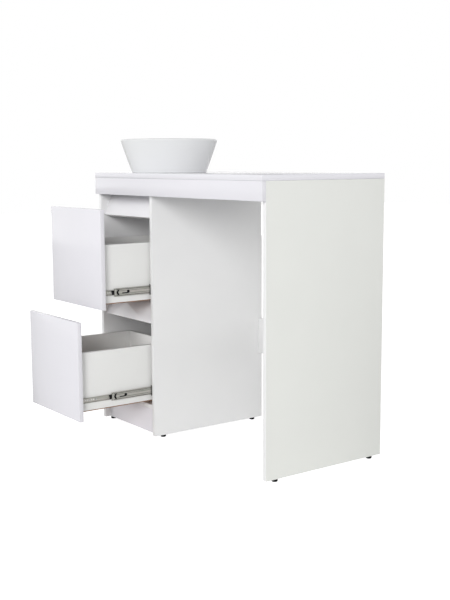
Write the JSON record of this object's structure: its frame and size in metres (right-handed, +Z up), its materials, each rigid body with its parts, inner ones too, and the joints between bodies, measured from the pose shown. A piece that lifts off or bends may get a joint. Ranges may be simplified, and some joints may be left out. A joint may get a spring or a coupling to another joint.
{
  "type": "vessel sink on vanity",
  "caption": "White bathroom vanity with a round vessel basin on a worktop, deep sliding drawers under it and an open appliance bay beside them.",
  "frame": {"origin": "on the floor, at the middle of the space the unit takes with its drawers drawn as at rest", "axes": "+X right along the front, from the drawer cabinet to the end panel; +Y back to the wall; +Z up"},
  "size_m": [1.005, 0.78, 1.055],
  "materials": {
    "white_board": "satin white melamine",
    "gloss_board": "gloss white",
    "hardboard": "raw brown hardboard",
    "ceramic": "gloss white glaze",
    "zinc_steel": "zinc plated",
    "chrome": "polished",
    "white_plastic": "smooth white",
    "black_plastic": "moulded black",
    "rubber": "black rubber"
  },
  "bodies": {
    "cabinet": {"cabinet_side_left": "white_board", "cabinet_side_right": "white_board", "end_panel": "white_board", "cabinet_rear_rail": "white_board", "bay_rear_rail": "white_board", "bay_stretcher": "white_board", "cabinet_bottom": "white_board", "cabinet_back": "white_board", "worktop": "gloss_board", "front_apron": "gloss_board", "plinth": "gloss_board", "finger_rail_upper": "gloss_board", "finger_rail_lower": "gloss_board", "foot_left_front": "black_plastic", "foot_left_rear": "black_plastic", "foot_middle_front": "black_plastic", "foot_middle_rear": "black_plastic", "foot_right_front": "black_plastic", "foot_right_rear": "black_plastic", "basin": "ceramic", "waste_body": "chrome", "waste_gasket": "rubber", "waste_backnut": "white_plastic", "trap_body": "white_plastic", "trap_cup": "white_plastic", "trap_inlet_nut": "white_plastic", "trap_outlet_pipe": "white_plastic", "trap_outlet_nut": "white_plastic", "upper_runner_left_cabinet_member": "zinc_steel", "upper_runner_right_cabinet_member": "zinc_steel", "lower_runner_left_cabinet_member": "zinc_steel", "lower_runner_right_cabinet_member": "zinc_steel"},
    "waste_plug": {"waste_plug": "chrome"},
    "upper_slides": {"upper_runner_left_slide_member": "zinc_steel", "upper_runner_left_bumper": "black_plastic", "upper_runner_right_slide_member": "zinc_steel", "upper_runner_right_bumper": "black_plastic"},
    "upper_drawer": {"upper_drawer_front": "gloss_board", "upper_drawer_side_left": "white_board", "upper_drawer_side_right": "white_board", "upper_drawer_back": "white_board", "upper_drawer_bottom": "hardboard", "upper_runner_left_drawer_member": "zinc_steel", "upper_runner_right_drawer_member": "zinc_steel"},
    "lower_slides": {"lower_runner_left_slide_member": "zinc_steel", "lower_runner_left_bumper": "black_plastic", "lower_runner_right_slide_member": "zinc_steel", "lower_runner_right_bumper": "black_plastic"},
    "lower_drawer": {"lower_drawer_front": "gloss_board", "lower_drawer_side_left": "white_board", "lower_drawer_side_right": "white_board", "lower_drawer_back": "white_board", "lower_drawer_bottom": "hardboard", "lower_runner_left_drawer_member": "zinc_steel", "lower_runner_right_drawer_member": "zinc_steel"}
  },
  "joints": [
    {"name": "upper_slide_extension", "type": "slide", "parent": "cabinet", "child": "upper_slides", "axis": [0, -1, 0], "range_m": [-0.151, 0.024]},
    {"name": "upper_drawer_extension", "type": "slide", "parent": "upper_slides", "child": "upper_drawer", "axis": [0, -1, 0], "range_m": [-0.034, 0.141]},
    {"name": "lower_slide_extension", "type": "slide", "parent": "cabinet", "child": "lower_slides", "axis": [0, -1, 0], "range_m": [-0.169, 0.006]},
    {"name": "lower_drawer_extension", "type": "slide", "parent": "lower_slides", "child": "lower_drawer", "axis": [0, -1, 0], "range_m": [-0.111, 0.064]},
    {"name": "waste_plug_lift", "type": "slide", "parent": "cabinet", "child": "waste_plug", "axis": [0, 0, 1], "range_m": [0, 0.009]}
  ]
}
